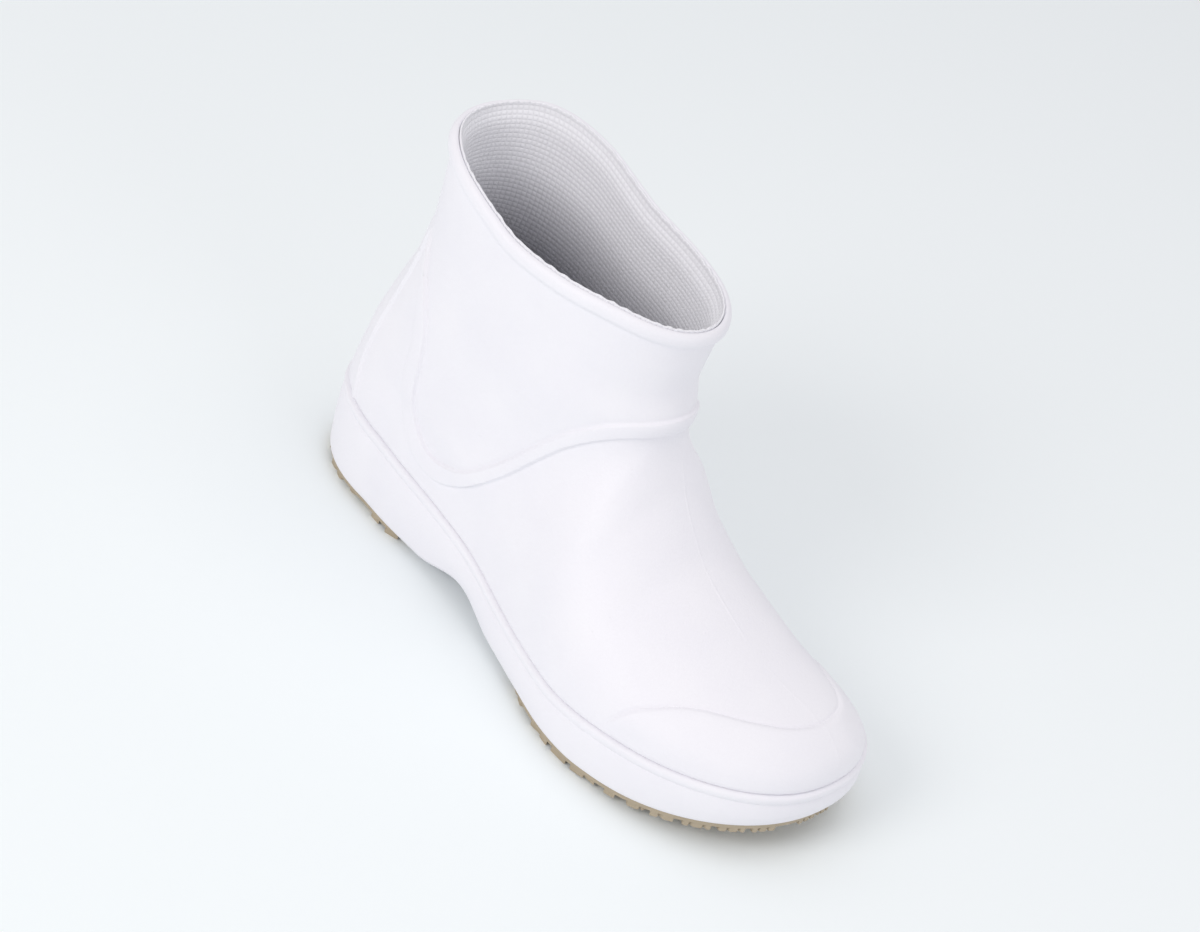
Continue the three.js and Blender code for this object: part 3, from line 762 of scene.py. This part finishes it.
def padPoint(pad, turn, margin, height, spread=1.0):
    back, front = pad["back"] + margin, pad["front"] - margin
    x = back + (front - back) * (1 - np.cos(turn)) / 2
    rear = endRound(back + pad["backRound"] - x, pad["backRound"], 2.4)
    fore = endRound(x - front + pad["frontRound"], pad["frontRound"], 2.4)
    square = planSquare(x, soleLook["padBorder"] + margin) * np.maximum(np.minimum(rear, fore), 0)
    half = np.sqrt(np.maximum(square, 0)) * spread
    return np.stack([x, middleAt(x) - np.sign(np.sin(turn)) * half, underside(x) + height], 1)


def padSkin(pad, columns, rows, name):
    # Closed skin over a pad's outline: rows give margin, height and spread
    ways = list(range(len(rows)))
    profile = profileOf([(way, *row) for way, row in zip(ways, rows)])
    bm = sheetGrid(columns, ways)
    turn, way = flatOf(bm)
    margin, height, spread = profile(way)
    return closeSkin(bm, padPoint(pad, turn, margin, height, spread), name)


def cutPocket(piece, pad):
    margin = -last["gap"]
    top = soleLook["padSunk"] + last["gap"]
    rows = [(margin, -9, 0), (margin, -9, 0.5), (margin, -9, 1), (margin, top, 1), (margin, top, 0.5),
            (margin, top, 0)]
    cutter = padSkin(pad, 180, rows, "pocket_cutter")
    cut = piece.modifiers.new("pocket", "BOOLEAN")
    cut.operation = "DIFFERENCE"
    cut.solver = "EXACT"
    cut.object = cutter
    applyModifiers(piece)
    bpy.data.objects.remove(cutter, do_unlink=True)


def applyModifiers(piece):
    evaluated = piece.evaluated_get(bpy.context.evaluated_depsgraph_get())
    made = bpy.data.meshes.new_from_object(evaluated)
    piece.modifiers.clear()
    old = piece.data
    piece.data = made
    bpy.data.meshes.remove(old)


soleUnit = makeSole()
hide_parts("midsole")
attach(soleUnit, "root")

print("insole")
insoleLook = {"thick": 4, "columns": 200}


def makeInsole():
    inset = last["inset"] + soleLook["lip"] + soleLook["bedRound"] + last["gap"]
    gap, thick = last["gap"], insoleLook["thick"]
    rows = [(6, gap, 0), (3, gap, 0.6), (0.4, gap, 1), (0, gap + 0.3, 1), (0, gap + 0.55 * thick, 1),
            (0.25, gap + 0.8 * thick, 1), (0.7, gap + 0.95 * thick, 1), (1.2, gap + thick, 1),
            (4, gap + thick, 0.85), (5, gap + thick, 0.6), (6, gap + thick, 0.3), (6, gap + thick, 0)]
    profile = profileOf([(i, *row) for i, row in enumerate(rows)])
    bm = sheetGrid(insoleLook["columns"], list(range(len(rows))))
    turn, way = flatOf(bm)
    more, lift, spread = profile(way)

    def height(x):
        return underside(x) + along(sideWall, "bed", x / last["length"]) + lift

    return closeSkin(bm, solePoint(turn, inset + more, height, spread), "insole_sheet")


insole = makeInsole()
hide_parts("insole")
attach(insole, "root")

print("tread pads")
treadLook = {
    "lugWidth": 8.7,
    "lugLong": 13.2,
    "pitch": 27.4,
    "row": 9.45,
    "rib": 2.3,
    "groove": 0.9,
    "lugHeight": 2.0,
    "proud": 2.0,
    "edge": 0.25,
    "least": 0.6,
    "sides": 16,
}


def ribbedLug(long):
    # One lug, an oval post whose top is split into three ribs that run along it
    look = treadLook
    bm = bmesh.new()
    top = -look["proud"]
    ends = (look["rib"] / 2, look["rib"] / 2 + look["groove"], look["lugWidth"] / 2 + 1)
    strips = [(-ends[2], -ends[1]), (-ends[0], ends[0]), (ends[1], ends[2])]
    for low, high in strips:
        part = bmesh.new()
        bmesh.ops.create_circle(part, cap_ends=True, segments=look["sides"], radius=look["lugWidth"] / 2)
        bmesh.ops.scale(part, vec=(long / look["lugWidth"], 1, 1), verts=part.verts)
        for place, normal in ((low, -1), (high, 1)):
            bmesh.ops.bisect_plane(part, geom=part.verts[:] + part.edges[:] + part.faces[:], dist=1e-5,
                                   plane_co=(0, place, 0), plane_no=(0, normal, 0), clear_outer=True)
        bmesh.ops.translate(part, vec=(0, 0, top + 0.4), verts=part.verts)
        made = bmesh.ops.extrude_face_region(part, geom=part.faces[:])["geom"]
        moved = [v for v in made if isinstance(v, bmesh.types.BMVert)]
        bmesh.ops.translate(part, vec=(0, 0, -look["lugHeight"] - 0.4), verts=moved)
        tips = [e for e in made if isinstance(e, bmesh.types.BMEdge)]
        bmesh.ops.bevel(part, geom=tips, offset=0.35, segments=1, profile=0.5, affect="EDGES", material=-1)
        bmesh.ops.recalc_face_normals(part, faces=part.faces)
        mesh = bpy.data.meshes.new("rib")
        part.to_mesh(mesh)
        part.free()
        bm.from_mesh(mesh)
        bpy.data.meshes.remove(mesh)
    mesh = bpy.data.meshes.new("lug")
    bm.to_mesh(mesh)
    bm.free()
    return mesh


def cutLug(part, spot, outward):
    bmesh.ops.bisect_plane(part, geom=part.verts[:] + part.edges[:] + part.faces[:], dist=1e-4,
                           plane_co=(*spot, 0), plane_no=(*outward, 0), clear_outer=True)
    rim = [e for e in part.edges if e.is_boundary]
    if rim:
        bmesh.ops.holes_fill(part, edges=rim, sides=0)
        bmesh.ops.recalc_face_normals(part, faces=part.faces)


def makePad(name, pad):
    look = treadLook
    sunk, proud = soleLook["padSunk"], look["proud"]
    rows = [(8, sunk, 0), (4, sunk, 0.6), (0.4, sunk, 1), (0, sunk - 0.4, 1), (0, 0, 1), (0, -proud + 0.4, 1),
            (0.15, -proud + 0.12, 1), (0.45, -proud, 1), (4, -proud, 0.85), (6, -proud, 0.6),
            (8, -proud, 0.3),
            (8, -proud, 0)]
    base = padSkin(pad, 220, rows, "outsole_" + name)
    bm = bmesh.new()
    bm.from_mesh(base.data)
    old = base.data
    ring = np.linspace(0, 2 * math.pi, 361)[:-1]
    outer = padPoint(pad, ring, look["edge"], 0)[:, :2]
    shapes = {True: ribbedLug(look["lugLong"]), False: ribbedLug(look["lugWidth"])}
    rowCount = 6
    lugs = bmesh.new()
    count = 0
    for row in range(-rowCount, rowCount + 1):
        y = row * look["row"]
        start = (row % 3) * look["pitch"] / 3
        for i in range(int(pad["back"] / look["pitch"]) - 1, int(pad["front"] / look["pitch"]) + 2):
            for step, isLong in ((0, True), (look["pitch"] / 2, False)):
                x = i * look["pitch"] + start + step
                inside, spot, outward = nearestEdge(outer, x, y)
                reach = (look["lugLong"] if isLong else look["lugWidth"]) / 2
                if inside < look["least"] - look["lugWidth"] / 2:
                    continue
                part = bmesh.new()
                part.from_mesh(shapes[isLong])
                bmesh.ops.translate(part, vec=(x, y, 0), verts=part.verts)
                if inside < reach + 0.5:
                    cutLug(part, spot, outward)
                if len(part.faces) > 3:
                    mesh = bpy.data.meshes.new("placed_lug")
                    part.to_mesh(mesh)
                    lugs.from_mesh(mesh)
                    bpy.data.meshes.remove(mesh)
                    count += 1
                part.free()
    points = np.array([v.co[:] for v in lugs.verts])
    points[:, 2] += underside(points[:, 0])
    for vert, spot in zip(lugs.verts, (points + shift) * millimetre):
        vert.co = spot
    mesh = bpy.data.meshes.new("lugs")
    lugs.to_mesh(mesh)
    lugs.free()
    bm.from_mesh(mesh)
    bpy.data.objects.remove(base, do_unlink=True)
    bpy.data.meshes.remove(old)
    print(count, "lugs")
    return newObject(bm, "outsole_" + name + "_tread", smooth=False)


def nearestEdge(points, x, y):
    # Depth of a spot inside an outline, with the nearest outline point and its outward direction
    far = np.hypot(points[:, 0] - x, points[:, 1] - y)
    k = int(np.argmin(far))
    before, after = points[k - 1], points[(k + 1) % len(points)]
    way = after - before
    way /= np.linalg.norm(way)
    outward = np.array([way[1], -way[0]])
    centre = points.mean(axis=0)
    if outward @ (points[k] - centre) < 0:
        outward = -outward
    return float((points[k] - (x, y)) @ outward), tuple(points[k]), tuple(outward)


heelTread = makePad("heel", pads["heel"])
foreTread = makePad("forefoot", pads["forefoot"])
for piece, node in ((heelTread, "outsole_heel"), (foreTread, "outsole_forefoot")):
    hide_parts(node)
    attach(piece, "root")

print("materials")


def linear(hexColour):
    values = [int(hexColour[i:i + 2], 16) / 255 for i in (1, 3, 5)]
    return tuple(v / 12.92 if v <= 0.04045 else ((v + 0.055) / 1.055) ** 2.4 for v in values) + (1.0,)


def addNode(tree, kind, settings=None, links=None):
    node = tree.nodes.new(kind)
    for key, value in (settings or {}).items():
        if isinstance(key, str) and hasattr(node, key):
            setattr(node, key, value)
        else:
            node.inputs[key].default_value = value
    for key, source in (links or {}).items():
        tree.links.new(source, node.inputs[key])
    return node


def newMaterial(name, settings):
    material = bpy.data.materials.new(name)
    material.use_nodes = True
    tree = material.node_tree
    tree.nodes.clear()
    shader = addNode(tree, "ShaderNodeBsdfPrincipled", settings)
    addNode(tree, "ShaderNodeOutputMaterial", None, {"Surface": shader.outputs["BSDF"]})
    return material, tree, shader


def perMetre(size):
    return 1 / (size * millimetre)


def mixColours(tree, look, share):
    between = {"data_type": "RGBA", 6: linear(look["shade"]), 7: linear(look["colour"])}
    return addNode(tree, "ShaderNodeMix", between, {0: share})


foamLook = {
    "colour": "#F4F3F7",
    "shade": "#EEEDF3",
    "rough": 0.55,
    "grain": 1.1,
    "grainDepth": 0.13,
    "pit": 7,
    "pitSize": 0.075,
    "pitDepth": 0.8,
    "cloud": 26,
    "glossier": 0.05,
    "duller": 0.07,
}


def mouldedFoam(name):
    # EVA foam from a lightly textured mould: a soft satin skin with an orange peel and a few tiny pits
    look = foamLook
    material, tree, shader = newMaterial(name, {"Roughness": look["rough"], "IOR": 1.42})
    place = addNode(tree, "ShaderNodeTexCoord").outputs["Object"]
    peelSize = {"Scale": perMetre(look["grain"]), "Detail": 2.0, "Roughness": 0.5}
    peel = addNode(tree, "ShaderNodeTexNoise", peelSize, {"Vector": place})
    cloud = addNode(tree, "ShaderNodeTexNoise", {"Scale": perMetre(look["cloud"]), "Detail": 2.0},
                    {"Vector": place})
    pits = addNode(tree, "ShaderNodeTexVoronoi", {"Scale": perMetre(look["pit"])}, {"Vector": place})
    pitRange = {"From Min": 0.0, "From Max": look["pitSize"], "To Min": 1.0, "To Max": 0.0}
    pit = addNode(tree, "ShaderNodeMapRange", pitRange, {"Value": pits.outputs["Distance"]})
    colour = mixColours(tree, look, cloud.outputs["Fac"])
    tree.links.new(colour.outputs[2], shader.inputs["Base Color"])
    roughRange = {"To Min": look["rough"] - look["glossier"], "To Max": look["rough"] + look["duller"]}
    rough = addNode(tree, "ShaderNodeMapRange", roughRange, {"Value": cloud.outputs["Fac"]})
    tree.links.new(rough.outputs["Result"], shader.inputs["Roughness"])
    height = addNode(tree, "ShaderNodeMath", {"operation": "MULTIPLY_ADD", 1: -look["pitDepth"]},
                     {0: pit.outputs["Result"], 2: peel.outputs["Fac"]})
    bump = addNode(tree, "ShaderNodeBump", {"Strength": 1.0, "Distance": look["grainDepth"] * millimetre},
                   {"Height": height.outputs["Value"]})
    tree.links.new(bump.outputs["Normal"], shader.inputs["Normal"])
    return material


rubberLook = {
    "colour": "#B8AA93",
    "shade": "#A69983",
    "rough": 0.62,
    "grain": 0.6,
    "grainDepth": 0.06,
    "cloud": 14,
}


def treadRubber(name):
    # Moulded natural rubber: tan, almost matt, slightly uneven in tone, with a fine mould texture
    look = rubberLook
    material, tree, shader = newMaterial(name, {"Roughness": look["rough"], "IOR": 1.52})
    place = addNode(tree, "ShaderNodeTexCoord").outputs["Object"]
    fine = addNode(tree, "ShaderNodeTexNoise", {"Scale": perMetre(look["grain"]), "Detail": 3.0},
                   {"Vector": place})
    cloud = addNode(tree, "ShaderNodeTexNoise", {"Scale": perMetre(look["cloud"]), "Detail": 3.0},
                    {"Vector": place})
    colour = mixColours(tree, look, cloud.outputs["Fac"])
    tree.links.new(colour.outputs[2], shader.inputs["Base Color"])
    bump = addNode(tree, "ShaderNodeBump", {"Strength": 1.0, "Distance": look["grainDepth"] * millimetre},
                   {"Height": fine.outputs["Fac"]})
    tree.links.new(bump.outputs["Normal"], shader.inputs["Normal"])
    return material


knitLook = {
    "colour": "#F6F6FA",
    "shade": "#F0F0F4",
    # The next three set the painted shade that darkens the lining's knit down in the shaft, in place of the
    # shadow there
    "paintedShadeColour": "#6C6B76",
    "paintedShadeFrom": 28,
    "paintedShadeTo": 84,
    "rough": 0.85,
    "pitch": 2.1,
    "depth": 0.22,
    "fullness": 0.6,
}


def waffleKnit(name, useWeave):
    # Polyester waffle knit: soft, light grey-white, with a grid of small cushions between sunken lines
    look = knitLook
    material, tree, shader = newMaterial(name, {"Roughness": look["rough"], "IOR": 1.5, "Sheen Weight": 0.25,
                                                "Sheen Roughness": 0.5})
    if useWeave:
        place = addNode(tree, "ShaderNodeUVMap", {"uv_map": "weave"}).outputs["UV"]
        scale = 1.0
    else:
        place = addNode(tree, "ShaderNodeTexCoord").outputs["Object"]
        scale = 1 / millimetre
    split = addNode(tree, "ShaderNodeSeparateXYZ", None, {"Vector": place})
    waves = []
    for axis in (0, 1):
        perCushion = {"operation": "MULTIPLY", 1: scale * math.pi / look["pitch"]}
        turned = addNode(tree, "ShaderNodeMath", perCushion, {0: split.outputs[axis]})
        wave = addNode(tree, "ShaderNodeMath", {"operation": "SINE"}, {0: turned.outputs["Value"]})
        waves.append(addNode(tree, "ShaderNodeMath", {"operation": "ABSOLUTE"}, {0: wave.outputs["Value"]}))
    cushion = addNode(tree, "ShaderNodeMath", {"operation": "MULTIPLY"},
                      {0: waves[0].outputs["Value"], 1: waves[1].outputs["Value"]})
    soft = addNode(tree, "ShaderNodeMath", {"operation": "POWER", 1: look["fullness"]},
                   {0: cushion.outputs["Value"]})
    # The sunken lines between the cushions are painted a little darker than the cushions: painted shade in
    # the knit's recesses
    colour = mixColours(tree, look, soft.outputs["Value"])
    if useWeave:
        # The knit is light at the collar and greyer down in the shaft: painted shade, standing in for the
        # shadow deep inside the boot
        paintedShadeDepths = {"From Min": look["paintedShadeFrom"], "From Max": look["paintedShadeTo"]}
        below = addNode(tree, "ShaderNodeMapRange", paintedShadeDepths, {"Value": split.outputs[1]})
        paintedShade = {"data_type": "RGBA", "blend_type": "MULTIPLY", 7: linear(look["paintedShadeColour"])}
        colour = addNode(tree, "ShaderNodeMix", paintedShade, {0: below.outputs["Result"], 6: colour.outputs[2]})
    tree.links.new(colour.outputs[2], shader.inputs["Base Color"])
    bump = addNode(tree, "ShaderNodeBump", {"Strength": 1.0, "Distance": look["depth"] * millimetre},
                   {"Height": soft.outputs["Value"]})
    tree.links.new(bump.outputs["Normal"], shader.inputs["Normal"])
    return material


whiteFoam = mouldedFoam("white_eva_foam")
tanRubber = treadRubber("tan_moulded_rubber")
liningKnit = waffleKnit("waffle_knit_lining", True)
insoleKnit = waffleKnit("waffle_knit_insole", False)
for piece, material in ((upper, whiteFoam), (soleUnit, whiteFoam), (lining, liningKnit), (insole, insoleKnit),
                        (heelTread, tanRubber), (foreTread, tanRubber)):
    piece.data.materials.clear()
    piece.data.materials.append(material)

print("studio")
studioLook = {
    "floor": {"colour": "#F3FAFB", "shade": "#F9FDFE"},
    "world": "#FAF9FC",
    "worldStrength": 0.7,
    "lens": 80.64,
    "camera": (0.51066, -0.70128, 0.71947),
    "right": (0.64962881, 0.71475172, 0.25906058),
    "down": (0.59099483, -0.26042517, -0.76348139),
    "forward": (-0.47823374, 0.64908297, -0.59159427),
}


def addFloor():
    bm = bmesh.new()
    bmesh.ops.create_grid(bm, x_segments=2, y_segments=2, size=6)
    floor = newObject(bm, "floor")
    material, tree, shader = newMaterial("pale_studio_floor", {"Roughness": 0.7})
    place = addNode(tree, "ShaderNodeTexCoord").outputs["Object"]
    cloud = addNode(tree, "ShaderNodeTexNoise", {"Scale": 0.8, "Detail": 1.0}, {"Vector": place})
    colour = mixColours(tree, studioLook["floor"], cloud.outputs["Fac"])
    tree.links.new(colour.outputs[2], shader.inputs["Base Color"])
    floor.data.materials.append(material)


def addLight(name, place, aim, size, power, colour):
    light = bpy.data.lights.new(name, "AREA")
    light.shape = "DISK"
    light.size = size
    light.energy = power
    light.color = linear(colour)[:3]
    lamp = bpy.data.objects.new(name, light)
    lamp.location = place
    lamp.rotation_euler = (Vector(aim) - Vector(place)).to_track_quat("-Z", "Y").to_euler()
    bpy.context.scene.collection.objects.link(lamp)


def addCamera():
    look = studioLook
    data = bpy.data.cameras.new("camera")
    data.lens = look["lens"]
    data.sensor_width = 36
    data.sensor_fit = "HORIZONTAL"
    data.clip_start = 0.01
    camera = bpy.data.objects.new("camera", data)
    axes = [Vector(look["right"]), -Vector(look["down"]), -Vector(look["forward"])]
    turned = Matrix([[axis[i] for axis in axes] for i in range(3)]).to_4x4()
    camera.matrix_world = Matrix.Translation(look["camera"]) @ turned
    bpy.context.scene.collection.objects.link(camera)
    bpy.context.scene.camera = camera


addFloor()
addCamera()
addLight("key", (-0.2, -1.5, 1.1), (0.0, 0.0, 0.06), 0.9, 9.3, "#FFFBF8")
addLight("top", (0.3, 0.3, 1.8), (0.0, 0.0, 0.05), 1.2, 4.4, "#FFFDFC")
addLight("front", (1.6, -0.3, 0.7), (0.05, 0.0, 0.05), 0.9, 2.2, "#FFFDFF")
world = bpy.data.worlds.new("studio")
world.use_nodes = True
background = world.node_tree.nodes["Background"]
background.inputs["Color"].default_value = linear(studioLook["world"])
background.inputs["Strength"].default_value = studioLook["worldStrength"]
bpy.context.scene.world = world
bpy.context.scene.view_settings.view_transform = "Standard"
